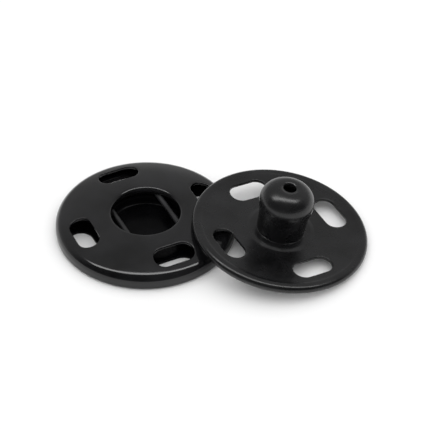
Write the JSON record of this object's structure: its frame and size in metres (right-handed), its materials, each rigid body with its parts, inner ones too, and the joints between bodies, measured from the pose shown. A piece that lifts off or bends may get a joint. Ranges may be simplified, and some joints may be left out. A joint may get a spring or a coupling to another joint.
{
  "type": "snap fastener",
  "caption": "Sew-on snap fastener in black lacquered metal: a flat round socket half with a spring in its mouth, and a stud half leaning on it.",
  "frame": {"origin": "on the socket half's axis, in the plane of its back, which is also the plane that both halves lie on", "axes": "+Z along the socket half's axis, out of its mouth; +X towards the stud half; the picture is taken along +Y, from above"},
  "size_m": [0.0371, 0.0234, 0.0087],
  "materials": {
    "black_lacquer": "gloss",
    "dark_wire": "satin"
  },
  "bodies": {
    "root": {"socket_front": "black_lacquer", "socket_back": "black_lacquer", "spring_wire": "dark_wire", "stud_plate": "black_lacquer"}
  },
  "joints": []
}
